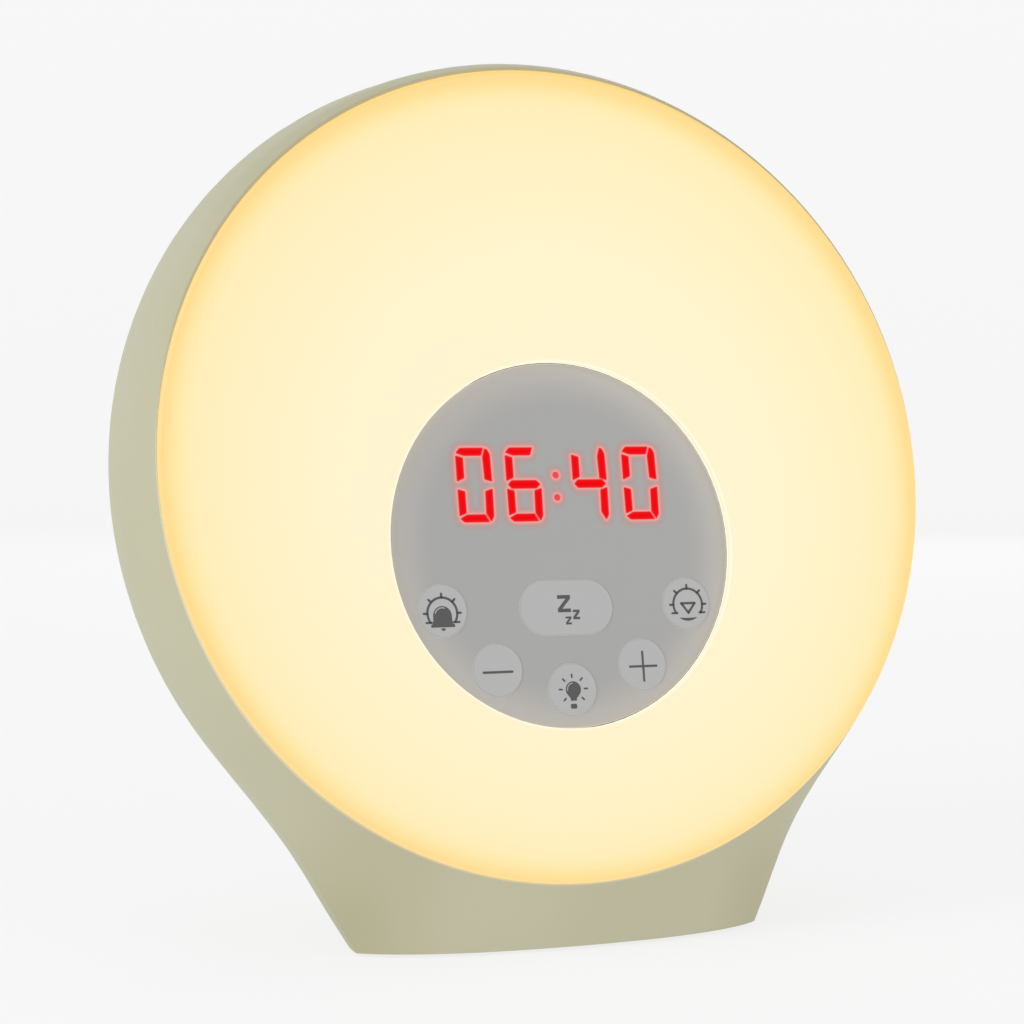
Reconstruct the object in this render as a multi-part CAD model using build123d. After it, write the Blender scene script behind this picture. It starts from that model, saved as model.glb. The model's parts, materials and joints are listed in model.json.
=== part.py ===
from build123d import *
from math import atan2, cos, exp, pi, radians, sin, sqrt, tan
import os

# Sunrise alarm clock, in millimetres. +Z is up, the lit face looks along -Y and leans back.
# The origin is in the middle of the object's box, on the surface it stands on.
# Depths are measured straight back (+Y) from the plane of the face unless a note says otherwise.

# Overall form
lean = 10.75
face_height = 102.1
rim_radius = 88.9
rim_setback = 1.2
wall_bulge = 1.4
bulge_depth = 5.6
body_lift = 0.3
straight_depth = 19.4
dome_depth = 72.0
rear_panel_radius = 46.0
split_depth = 46.0
wall = 2.4
outline_steps = 32
search_angle = 0.01
overrun = 1.0

# Foot, grown out of the round body: a broad swell and a narrower lobe on it
foot_clearance = 0.8
foot_half_width = 47.0
foot_corner_depth = 18.0
foot_flare_power = 1.08
foot_lobe_angle = 27.2
foot_lobe_power = 2.9
foot_taper_length = 170.0
foot_taper_power = 1.3
swell_reach = 8.4
swell_depth = 14.8
swell_power = 1.25
swell_focus = 2.1
foot_side_wall = 3.2
foot_hollow_start = 9.0
floor_rib_height = 7.0
floor_rib_thickness = 1.6
floor_rib_places = (-22.0, 0.0, 22.0)

# Tongue of the rear cover inside the front housing
tongue_length = 3.0
tongue_thickness = 1.2
tongue_fit = 0.15

# Diffuser and its seat: the cap sits on the housing rim, its spigot goes inside
diffuser_radius = 88.7
diffuser_thickness = 2.0
spigot_radius = 86.5
spigot_end = 4.5
spigot_fit = 0.1
ledge_width = 1.9
ledge_thickness = 2.0

# Reflector dish and lamp ring
dish_wall = 1.4
dish_depth = 27.0
dish_draft = 4.2
dish_clearance = 0.4
lamp_ring_width = 17.5
lamp_ring_gap = 2.4
lamp_count = 24
lamp_size = 3.5
lamp_height = 1.4

# Control panel and keys, measured on the face
panel_radius = 39.6
panel_drop = 16.3
panel_thickness = 2.2
panel_recess = 1.9
panel_fit = 0.15
key_radius = 5.65
snooze_length = 21.8
snooze_width = 11.8
key_fit = 0.1
key_proud = 0.15
key_travel = 0.5
key_flange_width = 0.8
key_flange_thickness = 0.7
key_flange_gap = 0.05
key_flange_fit = 0.3
key_places = {
    "alarm_key": (-28.6, -29.9),
    "sunset_key": (28.6, -29.9),
    "minus_key": (-16.9, -42.9),
    "plus_key": (16.9, -42.9),
    "light_key": (0.0, -47.7),
    "snooze_key": (0.0, -30.0),
}

# Carrier cup behind the panel, its board and display
carrier_wall = 1.9
carrier_ledge = 0.7
carrier_depth = 20.0
carrier_leg_radius = 3.6
carrier_leg_places = ((26.0, 15.0), (-26.0, 15.0), (0.0, -30.0))
board_thickness = 1.6
board_fit = 0.6
board_gap = 5.1
board_post_radius = 3.0
board_post_places = ((0.0, 32.0), (-33.0, 1.0), (33.0, 1.0))
display_width = 54.0
display_height = 21.0
display_depth = 4.6
display_rise = 13.15

# Tact switches
switch_size = 6.0
switch_height = 3.4
plunger_radius = 1.7
plunger_fit = 0.08
plunger_rise = 0.6
plunger_depth = 1.2
plunger_room = 0.3

# Main board behind the dish
main_board_width = 84.0
main_board_height = 46.0
main_board_drop = 30.0
main_board_gap = 7.0
main_post_inset = 5.0
cell_radius = 10.0
cell_thickness = 3.2
cell_place = (22.0, 3.0)
holder_wall = 1.5
capacitor_radius = 5.0
capacitor_height = 12.0
capacitor_places = ((-30.0, -10.0), (-30.0, 3.0))
chip_size = (10.0, 10.0, 1.8)
chip_places = ((-10.0, 2.0), (-8.0, -14.0))
connector_size = (10.0, 5.0, 6.0)
connector_places = ((-12.0, 18.0), (2.0, 18.0), (16.0, 18.0))
ribbon_drop = 4.0
ribbon_width = 14.0
ribbon_thickness = 0.4
ribbon_socket_height = 4.0
ribbon_socket_depth = 3.0
ribbon_slot_fit = 0.5

# Rear panel: speaker, setting keys and power inlet, measured on the rear panel
speaker_rise = 16.0
speaker_radius = 20.0
speaker_depth = 15.0
speaker_rim = 1.6
speaker_basket_radius = 14.0
speaker_wall = 0.8
cone_radius = 16.5
cone_depth = 6.0
cone_thickness = 0.5
magnet_radius = 12.5
magnet_depth = 6.0
gasket_thickness = 1.0
gasket_width = 3.0
speaker_post_radius = 3.0
speaker_post_gap = 0.4
ear_neck_share = 0.9
grille_radius = 17.5
grille_slot_width = 2.0
grille_pitch = 4.0
rear_key_drop = 18.0
rear_key_pitch = 16.0
rear_key_radius = 4.0
rear_key_travel = 0.6
rear_key_proud = 1.0
rear_key_flange_thickness = 1.0
rear_key_names = ("clock_set_key", "alarm_set_key", "sound_key")
rear_board_width = 58.0
rear_board_height = 12.0
rear_post_spacing = 50.0
inlet_drop = 62.0
inlet_barrel_radius = 5.8
inlet_fit = 0.1
inlet_flange_radius = 7.5
inlet_flange_thickness = 1.2
inlet_depth = 13.0
inlet_nut_radius = 8.0
inlet_nut_thickness = 2.5
socket_radius = 3.15
socket_depth = 10.0
inlet_pin_radius = 1.0
inlet_pin_setback = 1.0

# Screws, bosses and pads
screw_radius = 1.45
screw_hole_radius = 1.5
screw_pass_radius = 1.75
screw_head_radius = 2.9
screw_head_height = 2.0
small_screw_grip = 5.0
screw_tip_gap = 1.0
boss_radius = 4.0
boss_length = 8.0
boss_gap = 0.3
boss_web = 2.2
boss_places = ((-60.0, 46.0), (60.0, 46.0), (-33.0, -66.0), (33.0, -66.0))
case_screw_grip = 8.0
case_screw_bite = 6.5
well_radius = 3.2
pad_radius = 5.5
pad_embed = 1.0
pad_places = ((-31.0, 26.0), (31.0, 26.0), (-13.0, 70.0), (13.0, 70.0))

# Worked out from the values above
lean_angle = radians(lean)
floor_drop = face_height - foot_clearance
rim_depth = rim_setback / cos(lean_angle)
floor_level = floor_drop / cos(lean_angle)
body_radius = rim_radius + wall_bulge
corner_angle = atan2(foot_half_width, floor_level + body_lift)
corner_reach = foot_half_width / sin(corner_angle)
rear_depth = straight_depth + dome_depth * sqrt(1 - (rear_panel_radius / body_radius) ** 2)
front_end = (diffuser_radius - rim_setback) * sin(lean_angle) + rim_setback * (1 - cos(lean_angle))
rear_end = rear_depth + (rear_panel_radius + body_lift) * sin(lean_angle)
face_y = (front_end - rear_end) / 2
rear_wall = wall * cos(lean_angle)
seat_depth = spigot_end + dish_wall
ledge_back = (seat_depth + ledge_thickness) / cos(lean_angle)
ledge_inner_radius = spigot_radius - ledge_width
dish_mouth_radius = ledge_inner_radius - dish_clearance
dish_floor_radius = dish_mouth_radius - dish_draft
dish_back = seat_depth + dish_depth
carrier_outer_radius = panel_radius + panel_fit + carrier_wall
carrier_inner_radius = panel_radius - carrier_ledge
lamp_inner_radius = carrier_outer_radius + lamp_ring_gap
lamp_outer_radius = lamp_inner_radius + lamp_ring_width
panel_back = panel_recess + panel_thickness
board_front = panel_back + board_gap
board_back = board_front + board_thickness
carrier_back = panel_back + carrier_depth
switch_top = board_front - switch_height
main_board_front = dish_back + main_board_gap
main_board_back = main_board_front + board_thickness
ribbon_y = -panel_drop - ribbon_drop
speaker_ear_reach = speaker_radius + speaker_post_radius + speaker_post_gap
boss_end = split_depth - tongue_length - boss_gap
panel_place = Pos(0, -panel_drop, 0)
main_board_place = Pos(0, -main_board_drop, 0)


def lobe_shape(angle):
    """Share of the foot lobe's height that is left at an angle from straight down."""
    return exp(-((abs(angle) / radians(foot_lobe_angle)) ** foot_lobe_power))


def swell_shape(angle):
    """Share of the broad swell's height that is left at an angle from straight down."""
    return ((1 + cos(angle)) / 2) ** swell_focus


lobe_reach = corner_reach - body_radius - swell_reach * swell_shape(corner_angle)
lobe_reach /= lobe_shape(corner_angle)


def section_plane(depth):
    """Plane parallel to the face, moved straight back by depth, looking out of the face."""
    normal = (0, -cos(lean_angle), sin(lean_angle))
    return Plane(origin=(0, face_y + depth, face_height), x_dir=(1, 0, 0), z_dir=normal)


def on_face(shape):
    """Stands up a piece modelled on the face: x right, y up, z out of the face."""
    return section_plane(0).location * shape


def on_rear(shape):
    """Stands up a piece modelled on the rear panel: x right, y up, z into the body."""
    return section_plane(rear_depth).location * shape


def level_y(depth, rise):
    """Y where the section at this depth is met, at a height above the middle of the face."""
    return face_y + depth + rise * tan(lean_angle)


def disc(radius, front, back, x=0.0, y=0.0):
    """Cylinder across the face frame between two depths behind the face."""
    thickness = back - front
    return Pos(x, y, -front - thickness / 2) * Cylinder(radius, thickness)


def plate(width, height, front, back, x=0.0, y=0.0):
    """Rectangular plate across the face frame between two depths behind the face."""
    thickness = back - front
    return Pos(x, y, -front - thickness / 2) * Box(width, height, thickness)


def inward(radius, start, end, x=0.0, y=0.0):
    """Cylinder on the rear panel between two distances into the body."""
    return Pos(x, y, (start + end) / 2) * Cylinder(radius, end - start)


def level_rod(radius, x, rise, start, end):
    """Horizontal cylinder that runs front to back between two values of Y."""
    place = Pos(x, (start + end) / 2, face_height + rise)
    return place * Rot(90, 0, 0) * Cylinder(radius, end - start)


def slab(start, end):
    """All space between two sections of the body."""
    span = 3 * body_radius
    middle = (start + end) / 2
    return section_plane(middle).location * Box(span, span, (end - start) * cos(lean_angle))


# Body form

def dome_radius(depth, inset=0.0):
    """Radius of the round body: a rounded lip, a straight wall, then an elliptical dome."""
    lip_share = min(max(depth - rim_depth, 0) / bulge_depth, 1)
    radius = rim_radius + wall_bulge * sin(lip_share * pi / 2)
    share = max(depth - straight_depth, 0) / (dome_depth - inset)
    return (radius - inset) * sqrt(max(1 - share**2, 0))


def swell_height(depth):
    """How far the broad swell stands out of the round body, straight down."""
    return swell_reach * min(max(depth - rim_depth, 0) / swell_depth, 1) ** swell_power


def lobe_height(depth):
    """How far the foot lobe stands out of the swell, straight down."""
    if depth <= foot_corner_depth:
        share = max(depth - rim_depth, 0) / (foot_corner_depth - rim_depth)
        return lobe_reach * share**foot_flare_power
    share = (depth - foot_corner_depth) / foot_taper_length
    bottom = body_radius + swell_reach + lobe_reach
    bottom *= (1 - share**foot_taper_power) ** (1 / foot_taper_power)
    return bottom - swell_height(depth) - dome_radius(depth)


def body_reach(depth, angle):
    """Distance from the middle of a section to its outline, at an angle from straight down."""
    swell = swell_height(depth) * swell_shape(angle)
    return dome_radius(depth) + swell + lobe_height(depth) * lobe_shape(angle)


def half_width(depth, drop):
    """Half the width of a section at a distance below the middle of the face, by halving."""
    low, high = 0.0, pi / 2
    while high - low > radians(search_angle):
        angle = (low + high) / 2
        below = body_reach(depth, angle) * cos(angle) > drop + body_lift
        low, high = (angle, high) if below else (low, angle)
    return body_reach(depth, low) * sin(low)


def body_outline(depth):
    """Closed outline of the body at one depth: a circle with the foot lobe at the bottom."""
    points = []
    for step in range(outline_steps):
        angle = 2 * pi * step / outline_steps - pi
        reach = body_reach(depth, angle)
        points.append((reach * sin(angle), body_lift - reach * cos(angle)))
    return section_plane(depth) * make_face(Spline(points, periodic=True))


def spaced(start, end, steps):
    return [start + (end - start) * step / steps for step in range(steps + 1)]


def make_body():
    """Solid body from the rim to the rear panel, flat where it meets the floor."""
    lip_end = rim_depth + bulge_depth
    front_depths = spaced(rim_depth, lip_end, 2)[:-1] + spaced(lip_end, foot_corner_depth, 2)
    front = loft([body_outline(depth) for depth in front_depths])
    rear = loft([body_outline(depth) for depth in spaced(foot_corner_depth, rear_depth, 7)])
    below = face_height
    floor_cut = Pos(0, 0, foot_clearance - below / 2) * Box(4 * below, 4 * below, below)
    return front + rear - floor_cut


def hoop(depth, shape_depth):
    """Circle inside the wall at one depth, as wide as the round body is at another."""
    return section_plane(depth) * Pos(0, body_lift) * Circle(dome_radius(shape_depth, wall))


def round_hollow(start, end):
    """Inside of the round part of the body between two depths."""
    hoops = [hoop(depth, depth) for depth in spaced(max(start, straight_depth), end, 4)]
    hollow = loft(hoops)
    if start < straight_depth:
        hollow += loft([hoop(start, straight_depth), hoops[0]], ruled=True)
    return hollow


def foot_hollow(depths):
    """Inside of the foot: a box that follows its floor and narrows with it."""
    frames = []
    for depth in depths:
        foot_end = dome_radius(depth) + swell_height(depth) + lobe_height(depth) - body_lift
        drop = min(floor_level - wall, foot_end - 2 * wall)
        width = 2 * (half_width(depth, drop + wall) - foot_side_wall)
        top = dome_radius(depth, wall) / 2
        frames.append(section_plane(depth) * Pos(0, -(drop + top) / 2) * Rectangle(width, drop - top))
    return loft(frames, ruled=True)


def make_housing(body):
    """Front housing: ring, side wall and foot, with the diffuser seat and screw bosses."""
    end = split_depth + wall
    hollow = round_hollow(ledge_back, end)
    hollow += foot_hollow([foot_hollow_start, foot_corner_depth + 2 * wall, end])
    housing = body & slab(0, split_depth)
    housing -= hollow - floor_ribs() - housing_bosses()
    housing -= on_face(disc(spigot_radius + spigot_fit, -wall, seat_depth))
    housing -= on_face(disc(ledge_inner_radius, 0, seat_depth + ledge_thickness + wall))
    for x, rise in boss_places:
        boss_back = level_y(boss_end, rise)
        hole_start = boss_back - boss_length + screw_tip_gap
        housing -= level_rod(screw_hole_radius, x, rise, hole_start, boss_back + overrun)
    return housing


def floor_ribs():
    ribs = Part()
    for x in floor_rib_places:
        place = Pos(x, 0, foot_clearance + wall)
        ribs += place * Box(floor_rib_thickness, 4 * split_depth, 2 * floor_rib_height)
    return ribs & slab(foot_corner_depth / 2, boss_end)


def housing_bosses():
    """Bosses for the case screws, each with a web out to the nearest wall."""
    bosses = Part()
    wall_middle = dome_radius(boss_end) - wall / 2
    for x, rise in boss_places:
        end = level_y(boss_end, rise)
        middle = end - boss_length / 2
        bosses += level_rod(boss_radius, x, rise, end - boss_length, end)
        if rise > 0:
            length = sqrt(wall_middle**2 - (rise - body_lift) ** 2) - abs(x)
            place = Pos((abs(x) + length / 2) * x / abs(x), middle, face_height + rise)
            bosses += place * Box(length, boss_length, boss_web)
        else:
            height = floor_drop - wall / 2 + rise
            place = Pos(x, middle - height / 2 * tan(lean_angle), face_height + rise - height / 2)
            bosses += place * Box(boss_web, boss_length + height * tan(lean_angle), height)
    return bosses & slab(boss_end - boss_length, boss_end)


def cover_tongue():
    """Rim round the dome that slips inside the front housing and squares the joint."""
    radius = dome_radius(split_depth, wall) - tongue_fit
    rim = Pos(0, body_lift) * (Circle(radius) - Circle(radius - tongue_thickness))
    rim -= Pos(0, -radius) * Rectangle(2 * radius, radius)
    rim = extrude(rim, amount=tongue_length, both=True)
    return section_plane(split_depth).location * rim


def cover_posts():
    """Screw wells and the posts of the speaker and of the setting-key board."""
    posts = Part()
    for x, rise in boss_places:
        start = level_y(boss_end, rise)
        posts += level_rod(boss_radius, x, rise, start, start + body_radius)
    for x, y in speaker_post_places():
        posts += on_rear(inward(speaker_post_radius, -overrun, speaker_post_end(), x, y))
    for x, y in rear_post_places():
        posts += on_rear(inward(board_post_radius, -overrun, rear_board_start(), x, y))
    return posts


def make_rear_cover(body):
    """Rear cover: domed back with tongue, screw wells, grille, key holes and inlet hole."""
    start = split_depth - wall
    end = rear_depth - wall
    hollow = round_hollow(start, end) + foot_hollow([start, (start + end) / 2, end])
    cover = body & slab(split_depth, rear_depth + wall)
    cover -= hollow - cover_posts()
    cover += cover_tongue()
    for x, rise in boss_places:
        start = level_y(boss_end, rise)
        seat = start + case_screw_grip
        front_part = slab(split_depth - boss_length, split_depth + overrun)
        cover += level_rod(boss_radius, x, rise, start, seat) & front_part
        cover -= level_rod(screw_pass_radius, x, rise, start - overrun, seat + overrun)
        cover -= level_rod(well_radius, x, rise, seat, seat + body_radius)
    for x, y in speaker_post_places():
        cover -= on_rear(inward(screw_hole_radius, rear_wall, speaker_post_end() + overrun, x, y))
    for x, y in rear_post_places():
        cover -= on_rear(inward(screw_hole_radius, rear_wall, rear_board_start() + overrun, x, y))
    for x in rear_key_xs():
        radius = rear_key_radius + key_fit
        cover -= on_rear(inward(radius, -overrun, rear_wall + overrun, x, -rear_key_drop))
    cover -= on_rear(grille_cut())
    radius = inlet_barrel_radius + inlet_fit
    cover -= on_rear(inward(radius, -overrun, rear_wall + overrun, 0, -inlet_drop))
    return cover


def grille_cut():
    """Rounded slots, one above the other, that fill a circle in front of the speaker."""
    rows = int(grille_radius / grille_pitch)
    slots = Sketch()
    for row in range(-rows, rows + 1):
        half = sqrt(grille_radius**2 - (row * grille_pitch) ** 2)
        slots += Pos(0, row * grille_pitch) * SlotOverall(2 * half, grille_slot_width)
    return Pos(0, speaker_rise, -overrun) * extrude(slots, amount=rear_wall + 2 * overrun)


# Lit face

def make_diffuser():
    """Opal cap: flat disc with a rounded edge and a spigot behind it."""
    inner = spigot_radius - diffuser_thickness
    shoulder = diffuser_radius - rim_setback
    bend = rim_setback * (1 - 1 / sqrt(2))
    rim_end = (diffuser_radius, -rim_setback)
    edge = ThreePointArc((shoulder, 0), (diffuser_radius - bend, -bend), rim_end)
    inside = Polyline(
        rim_end,
        (spigot_radius, -rim_setback),
        (spigot_radius, -spigot_end),
        (inner, -spigot_end),
        (inner, -diffuser_thickness),
        (0, -diffuser_thickness),
        (0, 0),
        (shoulder, 0),
    )
    cap = revolve(Plane.XZ * make_face(edge + inside), Axis.Z)
    opening = disc(panel_radius + panel_fit, -overrun, spigot_end)
    return on_face(cap - panel_place * opening)


def make_dish():
    """Reflector: deep white dish with a mouth flange, a flat floor and board posts."""
    slope = dish_draft / dish_depth
    flange_top = -seat_depth + dish_wall
    mouth = dish_mouth_radius
    floor_radius = dish_floor_radius
    outline = Polyline(
        (0, -dish_back),
        (floor_radius, -dish_back),
        (mouth, -seat_depth),
        (spigot_radius, -seat_depth),
        (spigot_radius, flange_top),
        (mouth - dish_wall, flange_top),
        (floor_radius - dish_wall + slope * dish_wall, -dish_back + dish_wall),
        (0, -dish_back + dish_wall),
        close=True,
    )
    dish = revolve(Plane.XZ * make_face(outline), Axis.Z)
    for x, y in main_post_places():
        dish += disc(board_post_radius, dish_back - dish_wall, main_board_front, x, y)
    for x, y in main_post_places():
        dish -= disc(screw_hole_radius, dish_back, main_board_front + overrun, x, y)
    for x, y in carrier_leg_places:
        dish -= disc(screw_pass_radius, dish_back - 2 * dish_wall, dish_back + overrun, x, y - panel_drop)
    dish -= ribbon_slot(dish_back - 2 * dish_wall, dish_back + overrun)
    return on_face(dish)


def ribbon_slot(front, back):
    width = ribbon_width + 2 * ribbon_slot_fit
    return plate(width, ribbon_thickness + 2 * ribbon_slot_fit, front, back, 0, ribbon_y)


def make_lamp_board():
    front = dish_back - dish_wall - board_thickness
    ring = disc(lamp_outer_radius, front, front + board_thickness)
    ring -= disc(lamp_inner_radius, front, front + board_thickness)
    return on_face(panel_place * ring)


def make_lamp_leds():
    """Square lamps spaced evenly round the middle of the lamp board."""
    back = dish_back - dish_wall - board_thickness
    middle = (lamp_inner_radius + lamp_outer_radius) / 2
    lamp = Pos(middle, 0, 0) * plate(lamp_size, lamp_size, back - lamp_height, back)
    ring = [Rot(0, 0, 360 * step / lamp_count) * lamp for step in range(lamp_count)]
    return on_face(panel_place * Compound(ring))


# Control panel and its keys

def key_sketch(name, growth=0.0):
    """Outline of one front key: a round pad, or a long rounded pad for snooze."""
    x, y = key_places[name]
    if name == "snooze_key":
        length = snooze_length + 2 * growth
        return Pos(x, y) * SlotOverall(length, snooze_width + 2 * growth)
    return Pos(x, y) * Circle(key_radius + growth)


def across(sketch, front, back):
    """Extrudes a sketch on the face between two depths behind it."""
    return Pos(0, 0, -back) * extrude(sketch, amount=back - front)


def make_panel():
    """Round control panel with an opening for each key."""
    panel = disc(panel_radius, panel_recess, panel_back, 0, -panel_drop)
    for name in key_places:
        panel -= across(key_sketch(name, key_fit), panel_recess - overrun, panel_back + overrun)
    return on_face(panel)


def make_key(name):
    """Front key: pad, retaining flange cut back at the carrier wall, and a short stem."""
    x, y = key_places[name]
    flange_front = panel_back + key_flange_gap
    flange_back = flange_front + key_flange_thickness
    key = across(key_sketch(name), panel_recess - key_proud, flange_front)
    flange = across(key_sketch(name, key_flange_width), flange_front, flange_back)
    key += flange & disc(carrier_inner_radius - key_flange_fit, flange_front, flange_back, 0, -panel_drop)
    key += disc(plunger_radius, flange_back, switch_top - plunger_rise, x, y)
    return on_face(key)


def make_plunger(name):
    x, y = key_places[name]
    return on_face(disc(plunger_radius, switch_top - plunger_rise, switch_top + plunger_depth, x, y))


def make_key_switches():
    """Tact switch bodies on the display board, each with the bore of its plunger."""
    bore_end = switch_top + plunger_depth + key_travel + plunger_room
    switches = []
    for x, y in key_places.values():
        block = plate(switch_size, switch_size, switch_top, board_front, x, y)
        bore = disc(plunger_radius + plunger_fit, switch_top - overrun, bore_end, x, y)
        switches.append(block - bore)
    return on_face(Compound(switches))


def make_carrier():
    """Cup behind the panel that keeps lamp light out and holds the display board."""
    front = diffuser_thickness
    floor_front = carrier_back - carrier_wall
    cup = disc(carrier_outer_radius, front, carrier_back)
    cup -= disc(panel_radius + panel_fit, front - overrun, panel_back)
    cup -= disc(carrier_inner_radius, panel_back - overrun, floor_front)
    for x, y in board_post_places:
        cup += disc(board_post_radius, board_back, carrier_back, x, y)
    for x, y in board_post_places:
        cup -= disc(screw_hole_radius, board_back - overrun, board_back + small_screw_grip, x, y)
    for x, y in carrier_leg_places:
        cup += disc(carrier_leg_radius, floor_front, dish_back - dish_wall, x, y)
    for x, y in carrier_leg_places:
        start = dish_back - dish_wall - small_screw_grip
        cup -= disc(screw_hole_radius, start, dish_back, x, y)
    cup = panel_place * cup
    return on_face(cup - ribbon_slot(floor_front - overrun, carrier_back + overrun))


def make_display_board():
    board = disc(carrier_inner_radius - board_fit, board_front, board_back)
    for x, y in board_post_places:
        board -= disc(screw_pass_radius, board_front - overrun, board_back + overrun, x, y)
    return on_face(panel_place * board)


def make_display():
    """Four-digit display block on the board."""
    back = board_front
    block = plate(display_width, display_height, back - display_depth, back)
    return on_face(panel_place * Pos(0, display_rise, 0) * block)


# Main board

def main_post_places():
    across_reach = main_board_width / 2 - main_post_inset
    up_reach = main_board_height / 2 - main_post_inset
    columns = (-across_reach, across_reach)
    rows = (-main_board_drop - up_reach, -main_board_drop + up_reach)
    return [(x, y) for x in columns for y in rows]


def make_main_board():
    front = main_board_front
    board = main_board_place * plate(main_board_width, main_board_height, front, main_board_back)
    for x, y in main_post_places():
        board -= disc(screw_pass_radius, front - overrun, main_board_back + overrun, x, y)
    return on_face(board)


def make_board_parts():
    """Capacitors, chips and lead connectors on the back of the main board."""
    parts = []
    for x, y in capacitor_places:
        parts.append(disc(capacitor_radius, main_board_back, main_board_back + capacitor_height, x, y))
    for width, height, rise, places in (chip_size + (chip_places,), connector_size + (connector_places,)):
        for x, y in places:
            parts.append(plate(width, height, main_board_back, main_board_back + rise, x, y))
    return on_face(main_board_place * Compound(parts))


def make_cell_holder():
    """Square holder with a round pocket for the backup cell."""
    x, y = cell_place
    side = 2 * (cell_radius + holder_wall)
    back = main_board_back + holder_wall + cell_thickness
    holder = plate(side, side, main_board_back, back, x, y)
    holder -= disc(cell_radius + panel_fit, main_board_back + holder_wall, back + overrun, x, y)
    return on_face(main_board_place * holder)


def make_cell():
    x, y = cell_place
    front = main_board_back + holder_wall
    return on_face(main_board_place * disc(cell_radius, front, front + cell_thickness, x, y))


def make_ribbon():
    start = board_back + ribbon_socket_depth
    end = main_board_front - ribbon_socket_depth
    return on_face(plate(ribbon_width, ribbon_thickness, start, end, 0, ribbon_y))


def make_ribbon_sockets():
    width = ribbon_width + 2 * holder_wall
    sockets = []
    for front in (board_back, main_board_front - ribbon_socket_depth):
        back = front + ribbon_socket_depth
        sockets.append(plate(width, ribbon_socket_height, front, back, 0, ribbon_y))
    return on_face(Compound(sockets))


# Rear panel pieces

def speaker_post_end():
    return rear_wall + gasket_thickness


def corner_places(reach):
    """Four places at this distance from the middle, one in each corner."""
    side = reach / sqrt(2)
    return [(x, y) for x in (-side, side) for y in (-side, side)]


def speaker_post_places():
    return [(x, speaker_rise + y) for x, y in corner_places(speaker_ear_reach)]


def make_speaker_gasket():
    start = rear_wall
    ring = inward(speaker_radius, start, start + gasket_thickness)
    ring -= inward(speaker_radius - gasket_width, start - overrun, start + gasket_thickness + overrun)
    return on_rear(Pos(0, speaker_rise, 0) * ring)


def make_speaker_frame():
    """Basket: flat rim, tapered wall and a back plate for the magnet."""
    rim_start = speaker_post_end()
    back = rim_start + speaker_depth - magnet_depth
    inner = cone_radius + speaker_wall / 2
    outline = Polyline(
        (inner, rim_start),
        (speaker_radius, rim_start),
        (speaker_radius, rim_start + speaker_rim),
        (inner + speaker_wall, rim_start + speaker_rim),
        (speaker_basket_radius, back),
        (0, back),
        (0, back - speaker_wall),
        (speaker_basket_radius - speaker_wall, back - speaker_wall),
        (inner, rim_start + speaker_rim),
        close=True,
    )
    basket = revolve(Plane.XZ * make_face(outline), Axis.Z)
    rim_end = rim_start + speaker_rim
    for x, y in corner_places(speaker_ear_reach):
        basket += inward(speaker_post_radius, rim_start, rim_end, x, y)
        basket += inward(speaker_post_radius, rim_start, rim_end, x * ear_neck_share, y * ear_neck_share)
    basket -= inward(inner, rim_start - overrun, rim_end)
    for x, y in corner_places(speaker_ear_reach):
        basket -= inward(screw_pass_radius, rim_start - overrun, rim_end + overrun, x, y)
    return on_rear(Pos(0, speaker_rise, 0) * basket)


def make_speaker_cone():
    """Paper cone with a surround and a domed middle."""
    start = speaker_post_end() + cone_thickness
    tip = start + cone_depth
    middle = cone_radius / 3
    outline = Polyline(
        (cone_radius, start),
        (cone_radius, start + cone_thickness),
        (middle, tip + cone_thickness),
        (0, tip - cone_thickness),
        (0, tip - 2 * cone_thickness),
        (middle, tip),
        close=True,
    )
    return on_rear(Pos(0, speaker_rise, 0) * revolve(Plane.XZ * make_face(outline), Axis.Z))


def make_speaker_magnet():
    end = speaker_post_end() + speaker_depth
    return on_rear(inward(magnet_radius, end - magnet_depth, end, 0, speaker_rise))


def rear_post_places():
    return [(side * rear_post_spacing / 2, -rear_key_drop) for side in (-1, 1)]


def rear_key_xs():
    middle = (len(rear_key_names) - 1) / 2
    return [(index - middle) * rear_key_pitch for index in range(len(rear_key_names))]


def rear_flange_end():
    return rear_wall + key_flange_gap + rear_key_flange_thickness


def rear_switch_start():
    return rear_flange_end() + plunger_rise + rear_key_travel


def rear_board_start():
    return rear_switch_start() + switch_height


def make_rear_key(x):
    """Rear key: round cap that stands proud, a retaining flange and a stem."""
    flange_start = rear_wall + key_flange_gap
    key = inward(rear_key_radius, -rear_key_proud, flange_start, x, -rear_key_drop)
    key += inward(rear_key_radius + key_flange_width, flange_start, rear_flange_end(), x, -rear_key_drop)
    key += inward(plunger_radius, rear_flange_end(), rear_switch_start() - plunger_rise, x, -rear_key_drop)
    return on_rear(key)


def make_rear_plunger(x):
    start = rear_switch_start() - plunger_rise
    return on_rear(inward(plunger_radius, start, rear_switch_start() + plunger_depth, x, -rear_key_drop))


def make_rear_switches():
    start = rear_switch_start()
    bore_end = start + plunger_depth + rear_key_travel + plunger_room
    switches = []
    for x in rear_key_xs():
        middle = Pos(x, -rear_key_drop, start + switch_height / 2)
        block = middle * Box(switch_size, switch_size, switch_height)
        bore = inward(plunger_radius + plunger_fit, start - overrun, bore_end, x, -rear_key_drop)
        switches.append(block - bore)
    return on_rear(Compound(switches))


def make_rear_board():
    start = rear_board_start()
    middle = Pos(0, -rear_key_drop, start + board_thickness / 2)
    board = middle * Box(rear_board_width, rear_board_height, board_thickness)
    for x, y in rear_post_places():
        end = start + board_thickness
        board -= inward(screw_pass_radius, start - overrun, end + overrun, x, y)
    return on_rear(board)


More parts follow.
